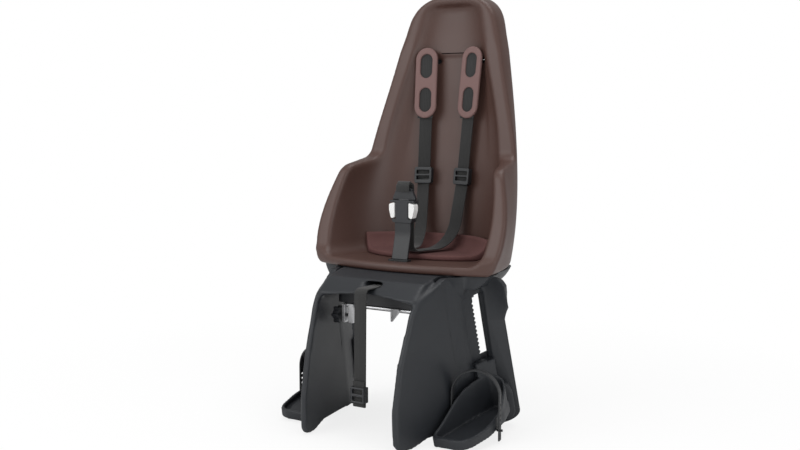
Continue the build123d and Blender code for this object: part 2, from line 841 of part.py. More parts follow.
foot_strap_base = Vector(131.9, tip_y + 108, 0)
foot_strap_end = Vector(218.5, tip_y + 128, 0)
foot_strap_span = (foot_strap_end - foot_strap_base).length
foot_strap_dir = (foot_strap_end - foot_strap_base).normalized()
foot_strap_plane = Plane(
    origin=foot_strap_base,
    x_dir=foot_strap_dir,
    z_dir=foot_strap_dir.cross(Vector(0, 0, 1)),
)
strap_shoulder = 82.0
peg_heights = (46.0, 22.0)
peg_radius = 2.2
hole_pitch = 9.0
with BuildPart() as foot_strap:
    with BuildSketch(foot_strap_plane):
        with BuildLine():
            Line((0, 38), (0, strap_shoulder))
            ThreePointArc(
                (0, strap_shoulder),
                (foot_strap_span / 2, strap_shoulder + foot_strap_span / 2),
                (foot_strap_span, strap_shoulder),
            )
            Line((foot_strap_span, strap_shoulder), (foot_strap_span, 4))
            offset(amount=foot_strap_thickness, side=Side.RIGHT)
        make_face()
    extrude(amount=foot_strap_width / 2, both=True)
    outward = Plane(origin=foot_strap_base, x_dir=foot_strap_plane.z_dir * -1, z_dir=foot_strap_dir)
    with BuildSketch(outward.offset(foot_strap_span / 2)):
        with Locations(*[(0, peg_heights[1] + hole_pitch * step) for step in range(-1, 6)]):
            Circle(peg_radius)
    extrude(amount=reach, mode=Mode.SUBTRACT)
    with BuildSketch(outward.offset(foot_strap_span / 2)):
        with Locations((0, peg_heights[0])):
            Circle(peg_radius)
    extrude(amount=-reach, mode=Mode.SUBTRACT)

with BuildPart() as pegs:
    with BuildSketch(outward.offset(foot_strap_span - 9)):
        with Locations((0, peg_heights[1])):
            Circle(peg_radius)
    extrude(amount=13)
    with BuildSketch(outward.offset(7)):
        with Locations((0, peg_heights[0])):
            Circle(peg_radius)
    extrude(amount=-7.5)
    add(tray.part, mode=Mode.SUBTRACT)

with BuildPart() as slider:
    add(
        span_box(
            rail,
            (slot_span[0] - slider_lap, slot_span[1] + slider_lap / 2),
            (stem_run[0] - slider_lap, stem_run[1] + slider_lap),
            (-guard_thickness - slide_gap - slider_thickness, -guard_thickness - slide_gap),
        )
    )

for name, side in sides.items():
    export(mirrored(tray.part, side), f"footrest_{name}")
    export(mirrored(foot_strap.part, side), f"foot_strap_{name}")
    export(mirrored(pegs.part, side), f"foot_strap_pegs_{name}")
    export(mirrored(slider.part, side), f"footrest_slider_{name}")
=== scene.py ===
# %% [markdown]
# The object is a child seat for the rear carrier of a bicycle. Its solid pieces come ready made
# from the CAD frame. This lesson gives them their finishes, replaces the soft pieces with real
# soft shapes and the big mouldings with rounded ones, and sets up a small studio with the camera
# where the picture was taken.

# %% Load the frame
import bpy
import json
import math
from contextlib import contextmanager
from functools import partial
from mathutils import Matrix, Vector


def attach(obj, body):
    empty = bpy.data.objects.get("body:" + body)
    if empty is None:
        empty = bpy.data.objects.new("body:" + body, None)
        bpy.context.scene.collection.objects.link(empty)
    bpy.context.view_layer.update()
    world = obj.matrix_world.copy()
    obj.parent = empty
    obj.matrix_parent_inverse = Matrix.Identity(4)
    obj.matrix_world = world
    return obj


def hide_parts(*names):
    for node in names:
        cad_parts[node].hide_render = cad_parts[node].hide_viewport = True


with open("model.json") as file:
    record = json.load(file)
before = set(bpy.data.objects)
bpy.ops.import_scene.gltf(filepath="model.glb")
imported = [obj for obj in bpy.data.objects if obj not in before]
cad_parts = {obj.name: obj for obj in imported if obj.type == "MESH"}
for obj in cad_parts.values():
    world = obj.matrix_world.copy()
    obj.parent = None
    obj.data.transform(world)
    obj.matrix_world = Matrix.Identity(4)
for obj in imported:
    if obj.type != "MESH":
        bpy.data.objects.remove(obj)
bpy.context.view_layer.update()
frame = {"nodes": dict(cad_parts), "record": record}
nodes = frame["nodes"]

# %% [markdown]
# The camera comes first, so that every later choice is judged from the right place. A lens of
# about 50 mm stands a little above the seat pad, 33 degrees round to the child's left, and looks
# slightly down. Fitting the edges of the legs, the rim and the armrests gave these numbers.

# %% Camera
bpy.ops.object.select_all(action="DESELECT")
bpy.ops.object.camera_add(
    location=(1.0998, -1.731, 0.5756), rotation=(math.radians(84.14), 0, math.radians(33))
)
camera = bpy.context.object
camera.data.lens = 49.95
camera.data.sensor_width = 36
bpy.context.scene.camera = camera
print("camera", [round(v, 3) for v in camera.location])

# %% [markdown]
# A seat on a white page could be cut out and pasted, but a white studio also gives it a soft
# shadow. The air around it reads as plain white to the camera and through glass, and lights the
# seat only half as strongly, so the white doesn't wash out the dark plastic.

# %% Studio air
def seen_directly(tree):
    """One for rays from the camera and through glass, and nought for all others."""
    path = tree.nodes.new("ShaderNodeLightPath")
    seen = tree.nodes.new("ShaderNodeMath")
    seen.operation = "MAXIMUM"
    tree.links.new(path.outputs["Is Camera Ray"], seen.inputs[0])
    tree.links.new(path.outputs["Is Transmission Ray"], seen.inputs[1])
    return seen.outputs[0]


def white_share(tree, factor, shaded, white, output):
    """Mix a shaded surface with plain white by a factor."""
    mix = tree.nodes.new("ShaderNodeMixShader")
    for socket, source in zip(mix.inputs, (factor, shaded, white)):
        tree.links.new(source, socket)
    tree.links.new(mix.outputs[0], output)


world = bpy.data.worlds.new("studio_air")
bpy.context.scene.world = world
world.use_nodes = True
sky = world.node_tree
air = sky.nodes["Background"]
air.inputs["Color"].default_value = (1, 1, 1, 1)
air.inputs["Strength"].default_value = 0.5
white_air = sky.nodes.new("ShaderNodeBackground")
white_air.inputs["Color"].default_value = (1, 1, 1, 1)
sky_end = sky.nodes["World Output"].inputs[0]
white_share(sky, seen_directly(sky), air.outputs[0], white_air.outputs[0], sky_end)
print("air with", len(sky.nodes), "nodes")

# %% [markdown]
# The floor is a big sheet of matt paper. Near the seat it keeps a part of its real shading, so the
# seat stands on a faint shadow and doesn't float. Farther out it fades to pure white, so that no
# horizon shows. The fade follows the distance from the middle of the sheet.

# %% Studio floor
bpy.ops.object.select_all(action="DESELECT")
bpy.ops.mesh.primitive_plane_add(size=80, location=(0, 0, -0.0005))
floor = bpy.context.object
floor.name = "studio_floor"
paper = bpy.data.materials.new("studio_paper")
paper.use_nodes = True
sheet = paper.node_tree
matt = sheet.nodes["Principled BSDF"]
matt.inputs["Base Color"].default_value = (0.9, 0.9, 0.9, 1)
matt.inputs["Roughness"].default_value = 0.9
glow = sheet.nodes.new("ShaderNodeEmission")
distance = sheet.nodes.new("ShaderNodeVectorMath")
distance.operation = "LENGTH"
sheet.links.new(sheet.nodes.new("ShaderNodeTexCoord").outputs["Object"], distance.inputs[0])
fade = sheet.nodes.new("ShaderNodeMapRange")
fade_span = {"From Min": 0.25, "From Max": 1.1, "To Min": 0.8, "To Max": 1.0}
for label, value in fade_span.items():
    fade.inputs[label].default_value = value
sheet.links.new(distance.outputs["Value"], fade.inputs["Value"])
share = sheet.nodes.new("ShaderNodeMath")
share.operation = "MULTIPLY"
sheet.links.new(seen_directly(sheet), share.inputs[0])
sheet.links.new(fade.outputs[0], share.inputs[1])
sheet_end = sheet.nodes["Material Output"].inputs[0]
white_share(sheet, share.outputs[0], matt.outputs[0], glow.outputs[0], sheet_end)
floor.data.materials.append(paper)
print("floor", round(floor.dimensions.x), "m wide")

# %% [markdown]
# Three large soft lamps, as in a studio: a key from the left, a fill from the right and one from
# above. Large lamps make the light roll off softly at the edges. Small ones would leave hard spots.

# %% Studio lamps
def soft_lamp(name, place, target, size, watts):
    aim = (Vector(target) - Vector(place)).to_track_quat("-Z", "Y").to_euler()
    bpy.ops.object.light_add(type="AREA", location=place, rotation=aim)
    lamp = bpy.context.object
    lamp.name = name
    lamp.data.size = size
    lamp.data.energy = watts
    print(name, watts, "W")


soft_lamp("key_lamp", (-1.3, -2.4, 1.8), (0, 0, 0.45), 2.2, 44)
soft_lamp("fill_lamp", (2.4, -1.6, 0.9), (0, 0, 0.4), 2.0, 26)
soft_lamp("top_lamp", (0.2, 0.2, 2.6), (0, 0, 0.5), 1.6, 26)
bpy.context.scene.view_settings.view_transform = "Standard"

# %% [markdown]
# An effect that several finishes share is built once, as a node group with its own sliders. These
# helpers make a group with its sockets, add a node with its settings, and wire sums and mixes.

# %% Node helpers
def new_group(name, inputs, outputs):
    group = bpy.data.node_groups.new(name, "ShaderNodeTree")
    for label, kind, value in inputs:
        socket = group.interface.new_socket(name=label, in_out="INPUT", socket_type=kind)
        socket.default_value = value
    for label, kind in outputs:
        group.interface.new_socket(name=label, in_out="OUTPUT", socket_type=kind)
    return group, group.nodes.new("NodeGroupInput"), group.nodes.new("NodeGroupOutput")


def add_node(tree, kind, **settings):
    node = tree.nodes.new(kind)
    for key, value in settings.items():
        if key in node.inputs:
            node.inputs[key].default_value = value
        else:
            setattr(node, key, value)
    return node


def maths(tree, operation, a, b=0.0):
    node = tree.nodes.new("ShaderNodeMath")
    node.operation = operation
    for index, value in enumerate((a, b)):
        if isinstance(value, (int, float)):
            node.inputs[index].default_value = value
        else:
            tree.links.new(value, node.inputs[index])
    return node.outputs[0]


def mix_colour(tree, factor, first, second):
    node = tree.nodes.new("ShaderNodeMix")
    node.data_type = "RGBA"
    for identifier, value in (("Factor_Float", factor), ("A_Color", first), ("B_Color", second)):
        socket = next(s for s in node.inputs if s.identifier == identifier)
        tree.links.new(value, socket)
    return next(s for s in node.outputs if s.identifier == "Result_Color")


print("node helpers ready")

# %% [markdown]
# Moulded plastic is never one flat colour: it has a fine spark-eroded grain and a slow drift in
# tone.
# Its edges are also painted paler, a painted highlight broken up by noise. A mould also never
# leaves a knife edge, so the group rounds the shading of each edge a little.

# %% Shared moulded effect
edge_gain = 5.0
tone_depth = 0.35
tone_on_gloss = 0.5
grain, gi, go = new_group(
    "moulded_grain",
    [
        ("Colour", "NodeSocketColor", (0.1, 0.1, 0.1, 1)),
        ("Pale", "NodeSocketColor", (0.2, 0.2, 0.2, 1)),
        ("Grain Scale", "NodeSocketFloat", 1400.0),
        ("Roughness", "NodeSocketFloat", 0.45),
        # This slider sets the strength of the painted edge highlight.
        ("Edge Polish", "NodeSocketFloat", 0.3),
        ("Edge Radius", "NodeSocketFloat", 0.002),
    ],
    [
        ("Colour", "NodeSocketColor"),
        ("Roughness", "NodeSocketFloat"),
        ("Height", "NodeSocketFloat"),
        ("Normal", "NodeSocketVector"),
    ],
)
sums = partial(maths, grain)
place = add_node(grain, "ShaderNodeTexCoord").outputs["Object"]
cells = add_node(grain, "ShaderNodeTexVoronoi")
drift = add_node(grain, "ShaderNodeTexNoise", Scale=9.0, Detail=4.0)
highlight_noise = add_node(grain, "ShaderNodeTexNoise", Scale=55.0, Detail=3.0)
for texture in (cells, drift, highlight_noise):
    grain.links.new(place, texture.inputs["Vector"])
grain.links.new(gi.outputs["Grain Scale"], cells.inputs["Scale"])

# The edge shows where the rounded normal turns away from the true one.
surface = add_node(grain, "ShaderNodeNewGeometry")
soft_edge = add_node(grain, "ShaderNodeBevel")
grain.links.new(gi.outputs["Edge Radius"], soft_edge.inputs["Radius"])
agreement = add_node(grain, "ShaderNodeVectorMath", operation="DOT_PRODUCT")
grain.links.new(surface.outputs["Normal"], agreement.inputs[0])
grain.links.new(soft_edge.outputs[0], agreement.inputs[1])
# Painted highlight: the edge mask, broken up by noise, turns every edge towards the paler colour.
edge = sums("MULTIPLY", sums("SUBTRACT", 1.0, agreement.outputs["Value"]), edge_gain)
edge = sums("MULTIPLY", sums("MULTIPLY", edge, highlight_noise.outputs["Fac"]), gi.outputs["Edge Polish"])

tone = sums("MULTIPLY", sums("SUBTRACT", drift.outputs["Fac"], 0.5), tone_depth)
paleness = add_node(grain, "ShaderNodeClamp")
grain.links.new(sums("ADD", edge, sums("MAXIMUM", tone, 0.0)), paleness.inputs["Value"])
paler = mix_colour(grain, paleness.outputs[0], gi.outputs["Colour"], gi.outputs["Pale"])
rough = sums("ADD", gi.outputs["Roughness"], sums("MULTIPLY", tone, tone_on_gloss))
grain.links.new(paler, go.inputs["Colour"])
grain.links.new(rough, go.inputs["Roughness"])
grain.links.new(cells.outputs["Distance"], go.inputs["Height"])
grain.links.new(soft_edge.outputs[0], go.inputs["Normal"])
print("moulded effect with", len(grain.nodes), "nodes")

# %% [markdown]
# Seat-belt webbing is a flat tape with fine ribs along it, a zigzag of threads across the ribs
# and a firm selvedge at both edges. The pattern follows the tape, so it reads the tape's own map,
# which counts from nought to one across and in metres along.

# %% Shared woven effect
full_turn = 6.2832
half_turn = 3.1416
selvedge_from = 0.44
selvedge_height = 0.5
weave, wi, wo = new_group(
    "woven_webbing",
    [
        ("Dark", "NodeSocketColor", (0.01, 0.01, 0.01, 1)),
        ("Light", "NodeSocketColor", (0.05, 0.05, 0.05, 1)),
        ("Ribs", "NodeSocketFloat", 9.0),
        ("Picks", "NodeSocketFloat", 420.0),
    ],
    [("Colour", "NodeSocketColor"), ("Height", "NodeSocketFloat")],
)
sums = partial(maths, weave)
tape_map = add_node(weave, "ShaderNodeSeparateXYZ")
weave.links.new(add_node(weave, "ShaderNodeUVMap", uv_map="tape").outputs[0], tape_map.inputs[0])
ribs = sums("MULTIPLY", tape_map.outputs["X"], wi.outputs["Ribs"])
picks = sums("MULTIPLY", tape_map.outputs["Y"], wi.outputs["Picks"])
zigzag = sums("ADD", picks, sums("PINGPONG", ribs, 1.0))
wave = sums("SINE", sums("MULTIPLY", zigzag, full_turn))
rib = sums("ABSOLUTE", sums("SINE", sums("MULTIPLY", ribs, half_turn)))
thread = sums("MULTIPLY", sums("ADD", sums("MULTIPLY", wave, 0.5), 0.5), rib)
off_middle = sums("ABSOLUTE", sums("SUBTRACT", tape_map.outputs["X"], 0.5))
selvedge = sums("MULTIPLY", sums("GREATER_THAN", off_middle, selvedge_from), selvedge_height)
cloth = mix_colour(weave, thread, wi.outputs["Dark"], wi.outputs["Light"])
weave.links.new(cloth, wo.inputs["Colour"])
weave.links.new(sums("ADD", thread, selvedge), wo.inputs["Height"])
print("woven effect with", len(weave.nodes), "nodes")

# %% [markdown]
# Now the finishes. A moulded finish takes its colour, roughness and grain from the shared group,
# a woven one its threads. Each keeps its shader, with all plain numbers on the shader's own
# sockets, in the material.

# %% Finish helpers
def finish(name, specular, effect, **sliders):
    """A material whose colour comes from a shared effect with its sliders set."""
    material = bpy.data.materials.new(name)
    material.use_nodes = True
    tree = material.node_tree
    shader = tree.nodes["Principled BSDF"]
    shader.inputs["Specular IOR Level"].default_value = specular
    group = tree.nodes.new("ShaderNodeGroup")
    group.node_tree = effect
    for label, value in sliders.items():
        group.inputs[label.replace("_", " ")].default_value = value
    tree.links.new(group.outputs["Colour"], shader.inputs["Base Color"])
    return material, tree, shader, group


def bump_from(tree, group, shader, strength, depth):
    bump = tree.nodes.new("ShaderNodeBump")
    bump.inputs["Strength"].default_value = strength
    bump.inputs["Distance"].default_value = depth
    tree.links.new(group.outputs["Height"], bump.inputs["Height"])
    tree.links.new(bump.outputs[0], shader.inputs["Normal"])
    return bump


# One slider of a moulded finish sets how strongly every edge is painted paler, as a painted
# highlight.
def moulded(
    name, colour, pale, roughness,
    edge_highlight=0.3, edge=0.002, scale=1400.0, bump=0.25, specular=0.5, metallic=0.0,
):
    material, tree, shader, group = finish(
        name, specular, grain,
        Colour=(*colour, 1), Pale=(*pale, 1), Roughness=roughness,
        Edge_Polish=edge_highlight, Edge_Radius=edge, Grain_Scale=scale,
    )
    shader.inputs["Metallic"].default_value = metallic
    tree.links.new(group.outputs["Roughness"], shader.inputs["Roughness"])
    relief = bump_from(tree, group, shader, strength=bump, depth=0.0002)
    tree.links.new(group.outputs["Normal"], relief.inputs["Normal"])
    return material


def woven(name, dark, light):
    material, tree, shader, group = finish(name, 0.35, weave, Dark=(*dark, 1), Light=(*light, 1))
    shader.inputs["Roughness"].default_value = 0.72
    shader.inputs["Sheen Weight"].default_value = 0.15
    bump_from(tree, group, shader, strength=0.6, depth=0.0004)
    return material


print("finish helpers ready")

# %% [markdown]
# The shell is a warm dark brown, the base a cool dark grey, and both are matt. The pads are a
# redder brown, the hardware is black, the buttons are white, and the carrier clamp is bright steel.

# %% Finishes
# Where a recipe sets its edge paling, that is the strength of a painted edge highlight.
recipes = {
    "shell_brown": dict(
        colour=(0.066, 0.033, 0.026), pale=(0.098, 0.056, 0.046),
        roughness=0.45, edge=0.003, specular=0.42,
    ),
    "base_grey": dict(
        colour=(0.0135, 0.0155, 0.019), pale=(0.04, 0.044, 0.051),
        roughness=0.48, edge=0.004, specular=0.42,
    ),
    "pad_foam": dict(
        colour=(0.1, 0.043, 0.04), pale=(0.14, 0.07, 0.065),
        roughness=0.8, edge_highlight=0.1, edge=0.003, scale=900.0, bump=0.5, specular=0.3,
    ),
    "pad_rubber": dict(
        colour=(0.15, 0.084, 0.078), pale=(0.2, 0.118, 0.11),
        roughness=0.6, edge_highlight=0.2, edge=0.002, scale=1800.0, bump=0.2, specular=0.4,
    ),
    "hardware_black": dict(
        colour=(0.014, 0.015, 0.018), pale=(0.04, 0.042, 0.045), roughness=0.42, edge=0.001
    ),
    "hardware_grey": dict(
        colour=(0.011, 0.012, 0.014), pale=(0.035, 0.037, 0.04), roughness=0.45, edge=0.001
    ),
    "button_white": dict(
        colour=(0.75, 0.75, 0.74), pale=(0.82, 0.82, 0.82), roughness=0.35, edge_highlight=0.1, edge=0.001
    ),
    "bright_steel": dict(
        colour=(0.55, 0.55, 0.56), pale=(0.7, 0.7, 0.7),
        roughness=0.3, edge_highlight=0.2, edge=0.001, metallic=1.0,
    ),
    "strap_rubber": dict(
        colour=(0.015, 0.016, 0.018), pale=(0.04, 0.04, 0.042), roughness=0.55, edge=0.001
    ),
    "reflector_red": dict(
        colour=(0.32, 0.012, 0.01), pale=(0.4, 0.03, 0.02), roughness=0.18, edge=0.001
    ),
    "shadow_gap": dict(
        colour=(0.006, 0.004, 0.004), pale=(0.008, 0.005, 0.005),
        roughness=0.9, edge_highlight=0.0, edge=0.0005, specular=0.0,
    ),
}
looks = {name: moulded(name, **recipe) for name, recipe in recipes.items()}
looks["webbing"] = woven("webbing", dark=(0.008, 0.008, 0.008), light=(0.03, 0.03, 0.03))
print(len(looks), "finishes")

# %% [markdown]
# The record says which finish and which moving body each CAD node has. Every node gets its finish
# here. The pieces that follow are dressed in the same way, and most of them stand for a node.

# %% Dressing
record = frame["record"]
slot_of = {entry["node"]: entry["material_slot"] for entry in record["subparts"]}
body_of = {node: body for body, names in record["behaviour"]["bodies"].items() for node in names}


def coat(piece, slot):
    piece.data.materials.clear()
    piece.data.materials.append(looks[slot])


def dress(piece, body, slot):
    """A finished piece moves with a body and takes the finish of a slot."""
    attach(piece, body)
    coat(piece, slot)


def settle(piece, node):
    """A finished piece that stands for a CAD node, moves with it and takes its finish."""
    dress(piece, body_of[node], slot_of[node])
    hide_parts(node)


for name, slot in slot_of.items():
    coat(nodes[name], slot)
print("finishes on", len(slot_of), "nodes")

# %% [markdown]
# Modelling by hand repeats a few moves: start from a primitive with nothing else selected, edit
# all of a piece, add a modifier and apply it. Each of these moves is a helper.

# %% Bench helpers
def start_from(primitive, name, **sizes):
    bpy.ops.object.select_all(action="DESELECT")
    primitive(**sizes)
    bpy.context.object.name = name
    return bpy.context.object


@contextmanager
def editing():
    """Edit the active piece with all of it selected."""
    bpy.ops.object.mode_set(mode="EDIT")
    bpy.ops.mesh.select_all(action="SELECT")
    yield
    bpy.ops.object.mode_set(mode="OBJECT")


def apply(piece, kind, **settings):
    """Give the active piece a modifier and apply it."""
    step = piece.modifiers.new(kind.lower(), kind)
    for key, value in settings.items():
        setattr(step, key, value)
    bpy.ops.object.modifier_apply(modifier=step.name)


def clamped(value):
    return max(0.0, min(1.0, value))


print("bench helpers ready")

# %% [markdown]
# Harness webbing has no thickness to speak of, but it has a direction: the weave runs along it.
# A curve with a flat profile could give the shape, but not the map. So each strap is laid as a
# person would lay it: one edge as wide as the tape is extruded along the route. The map for the
# weave is written while the strip is still flat between its folds.

# %% Laying a tape
def one_edge(name, middle, half):
    """Half of a plane is deleted, and the edge that is left lies across the tape's start."""
    tape = start_from(bpy.ops.mesh.primitive_plane_add, name, size=1)
    bpy.ops.object.mode_set(mode="EDIT")
    bpy.ops.mesh.select_mode(type="VERT")
    bpy.ops.mesh.select_all(action="DESELECT")
    bpy.ops.object.mode_set(mode="OBJECT")
    for vertex in tape.data.vertices:
        vertex.select = vertex.co.y > 0
    bpy.ops.object.mode_set(mode="EDIT")
    bpy.ops.mesh.delete(type="VERT")
    bpy.ops.object.mode_set(mode="OBJECT")
    for vertex in tape.data.vertices:
        vertex.co = middle + (half if vertex.co.x > 0 else -half)
    return tape


def off_ends(spot, middle, half):
    return min((spot - middle - half).length, (spot - middle + half).length)


def map_weave(tape, route, half):
    lengths = [0.0]
    for here, there in zip(route, route[1:]):
        lengths.append(lengths[-1] + (there - here).length)
    tape_uv = tape.data.uv_layers.new(name="tape")
    for loop in tape.data.loops:
        spot = tape.data.vertices[loop.vertex_index].co
        step = min(range(len(route)), key=lambda k: off_ends(spot, route[k], half))
        side = 1.0 if (spot - route[step]).dot(half) > 0 else 0.0
        tape_uv.data[loop.index].uv = (side, lengths[step])
    return lengths[-1]


print("tape helpers ready")

# %% [markdown]
# A fold is a bevel of one cross edge of the strip, as wide as the radius needs. Then Solidify
# gives the tape its thickness, and a fine bevel takes the sharpness from its selvedges.

# %% Folding a tape
tape_thickness = 0.0018
selvedge_round = 0.0005


def fold_tape(tape, route, point, radius):
    before = (route[point] - route[point - 1]).normalized()
    after = (route[point + 1] - route[point]).normalized()
    bend = before.angle(after)
    for line in tape.data.edges:
        ends = [tape.data.vertices[v].co for v in line.vertices]
        line.select = ((ends[0] + ends[1]) / 2 - route[point]).length < 1e-5
    for part in (*tape.data.vertices, *tape.data.polygons):
        part.select = False
    bpy.ops.object.mode_set(mode="EDIT")
    bpy.ops.mesh.select_mode(type="EDGE")
    bpy.ops.mesh.bevel(
        offset=radius * math.tan(bend / 2),
        offset_type="OFFSET",
        segments=max(4, round(bend * 8)),
        affect="EDGES",
    )
    bpy.ops.object.mode_set(mode="OBJECT")


def lay_tape(name, route, across, folds, facing):
    """route: points along one face; folds: {point: radius}; facing: outward on the last run."""
    half = Vector(across) / 2
    tape = one_edge(name, route[0], half)
    with editing():
        for here, there in zip(route, route[1:]):
            bpy.ops.mesh.extrude_region_move(TRANSFORM_OT_translate={"value": there - here})
    length = map_weave(tape, route, half)
    for point, radius in folds.items():
        fold_tape(tape, route, point, radius)
    end = (route[-1] + route[-2]) / 2
    last = min(tape.data.polygons, key=lambda face: (face.center - end).length)
    if last.normal.dot(Vector(facing)) < 0:
        with editing():
            bpy.ops.mesh.flip_normals()
    apply(tape, "SOLIDIFY", thickness=tape_thickness, offset=1.0)
    apply(
        tape, "BEVEL", width=selvedge_round, segments=2,
        limit_method="ANGLE", angle_limit=math.radians(60),
    )
    bpy.ops.object.shade_smooth_by_angle(angle=math.radians(50))
    print(tape.name, "length", round(length, 3), "faces", len(tape.data.polygons))
    return tape


print("folding helpers ready")

# %% [markdown]
# The shoulder straps come forward out of their slots in the back, fold down over the slot's edge
# and hang in front of the back panel as far as the adjusters. Behind the shell they turn up into
# their anchors. A strip of the same cloth lies inside each shoulder pad and fills its windows.

# %% Shoulder straps
sides = {"left": 1, "right": -1}
tip = -0.181
tape_width = 0.026
slot_mouth = (0.052, tip + 0.329, 0.672)
slot_turn = math.radians(8)
strap_rise = (0.004, 0.223)
slot_front = -0.005
slot_back = 0.051
anchor_rise = 0.026
slot_fold = 0.005
hang = 0.226
lean = 0.028 / 0.223
mesh_width = 0.032
mesh_depth = 0.0045
mesh_above = 0.02
mesh_length = 0.132


def slot_axes(side):
    """The middle of a slot's mouth and the way back through it."""
    mouth = Vector((side * slot_mouth[0], slot_mouth[1], slot_mouth[2]))
    return mouth, Vector((side * math.sin(slot_turn), math.cos(slot_turn), 0))


for name, side in sides.items():
    mouth, back = slot_axes(side)
    rise = Vector((side * strap_rise[0], 0, strap_rise[1]))
    up = (rise - rise.dot(back) * back).normalized()
    across = back.cross(up)
    flat_route = [
        (slot_back, anchor_rise),
        (slot_back, 0),
        (slot_front, 0),
        (slot_front - lean * hang, -hang),
    ]
    route = [mouth + b * back + u * up for b, u in flat_route]
    folds = {1: slot_fold, 2: slot_fold}
    strap = lay_tape(f"shoulder_tape_{name}", route, across * tape_width, folds, -back)
    settle(strap, f"shoulder_strap_{name}")

    down = (route[3] - route[2]).normalized()
    outward = across.cross(down) if across.cross(down).y < 0 else down.cross(across)
    mesh_top = route[2] + outward * mesh_depth - down * mesh_above
    mesh_route = [mesh_top, mesh_top + down * mesh_length]
    mesh = lay_tape(f"pad_mesh_{name}", mesh_route, across * mesh_width, {}, outward)
    dress(mesh, "seat", "webbing")

# %% [markdown]
# The lap straps go on from the adjusters. They fall to the seat pad in a loose curve, run forward
# and inward over it, rise behind the buckle and loop over the bar of its tongue. The right one
# lies on the left one, so it is a layer higher on the pad and wider at the loop.

# %% Lap straps
lap_start = (0.0434, tip + 0.296)
lap_run = Vector((-0.0408, -0.1298, 0)).normalized()
lap_top = 0.444
lap_floor = 0.3164
lap_layer = 0.0024
lap_sweep = 0.062
lap_landing = 0.027
lap_reach = 0.136
buckle_fold = 0.014
loop_height = 0.437
loop_room = 0.0066
loop_tail = 0.008
loop_share = 0.98

for name, side in sides.items():
    layer = 0.0 if side > 0 else lap_layer
    run = Vector((side * lap_run.x, lap_run.y, 0))
    start = Vector((side * lap_start[0], lap_start[1], 0))
    reach = lap_reach - layer
    loop = loop_room + layer
    flat_route = [
        (-0.001, lap_top),
        (lap_landing, lap_floor + layer),
        (reach, lap_floor + layer),
        (reach, loop_height + loop),
        (reach + 2 * loop, loop_height + loop),
        (reach + 2 * loop, loop_height - loop_tail),
    ]
    route = [start + h * run + Vector((0, 0, z)) for h, z in flat_route]
    loop_fold = loop * loop_share
    folds = {1: lap_sweep - layer, 2: buckle_fold - layer, 3: loop_fold, 4: loop_fold}
    strap = lay_tape(f"lap_tape_{name}", route, Vector((tape_width, 0, 0)), folds, run)
    settle(strap, f"lap_strap_{name}")

# %% [markdown]
# The safety strap hangs from a slot in the front of the base. It ties the seat to the bicycle's
# frame, and here it hangs loose, turned up at its end through a plain keeper.

# %% Safety strap
safety_width = 0.025
strap_slot = 0.265
strap_low = 0.0576
strap_end = 0.104
slot_lip = 0.009
end_fold = 0.0024
flat_route = [
    (0.08, strap_slot),
    (0.018, strap_slot),
    (0.015, strap_low),
    (0.01, strap_low),
    (0.01, strap_end),
]
route = [Vector((0, tip + y, z)) for y, z in flat_route]
folds = {1: slot_lip, 2: end_fold, 3: end_fold}
strap = lay_tape("safety_tape", route, Vector((safety_width, 0, 0)), folds, (0, 1, 0))
settle(strap, "safety_strap")

# %% [markdown]
# A solid's hard edges could be bevelled one by one. Here each solid is copied and merged, rebuilt
# as an even skin of small faces and then relaxed, which rounds all of its edges at once, as foam
# is round, and as a mould leaves plastic. The size of the faces and the number of passes set how
# round it gets.

# %% Softening helpers
merge_distance = 0.00002


def merged_copy(node, name):
    bpy.ops.object.select_all(action="DESELECT")
    piece = bpy.data.objects.new(name, nodes[node].data.copy())
    bpy.context.collection.objects.link(piece)
    piece.select_set(True)
    bpy.context.view_layer.objects.active = piece
    with editing():
        bpy.ops.mesh.remove_doubles(threshold=merge_distance)
    return piece


def smooth(piece, passes, group=""):
    apply(piece, "SMOOTH", factor=0.5, iterations=passes, vertex_group=group)


def relax(piece, voxel, passes):
    apply(piece, "REMESH", mode="VOXEL", voxel_size=voxel)
    smooth(piece, passes)
    bpy.ops.object.shade_smooth()
    print(piece.name, "faces", len(piece.data.polygons))


def weigh(piece, name, weight_at):
    """A vertex group whose weight follows the place of each vertex."""
    group = piece.vertex_groups.new(name=name)
    for vertex in piece.data.vertices:
        group.add([vertex.index], weight_at(vertex.co), "REPLACE")


print("softening helpers ready")

# %% [markdown]
# The seat pad is an oval of foam that fills the bottom of the tub. Its ends are drawn in to the
# oval, because the solid is cut square where it meets the walls. The shoulder pads are rubber
# plates with two windows, through which the strap shows.

# %% Soft pads
pad_half = 0.1405
pad_middle = tip + 0.238
seat_pad = merged_copy("seat_pad", "seat_pad_soft")
relax(seat_pad, 0.003, 8)
for vertex in seat_pad.data.vertices:
    outward = min(1.0, abs(vertex.co.x) / pad_half)
    drawn_in = math.sqrt(1 - outward ** 4)
    vertex.co.y = pad_middle + (vertex.co.y - pad_middle) * drawn_in
settle(seat_pad, "seat_pad")
for name in sides:
    shoulder_pad = merged_copy(f"shoulder_pad_{name}", f"shoulder_pad_{name}_soft")
    relax(shoulder_pad, 0.001, 6)
    settle(shoulder_pad, f"shoulder_pad_{name}")

# %% [markdown]
# The crotch strap, the buckle's tongue, the two adjusters and the keeper of the safety strap are
# small hard mouldings. A very fine skin and a few passes ease their edges by about a millimetre.
# The keeper is only a little wider than its strap, so its copy is made narrower first.

# %% Small mouldings
mouldings = {
    "crotch_strap": 0.0008,
    "buckle_tongue": 0.0008,
    "strap_adjuster_left": 0.0007,
    "strap_adjuster_right": 0.0007,
    "safety_strap_keeper": 0.0007,
}
keeper_share = 0.84
for node, voxel in mouldings.items():
    piece = merged_copy(node, node + "_eased")
    if node == "safety_strap_keeper":
        for vertex in piece.data.vertices:
            vertex.co.x *= keeper_share
    relax(piece, voxel, 4)
    settle(piece, node)

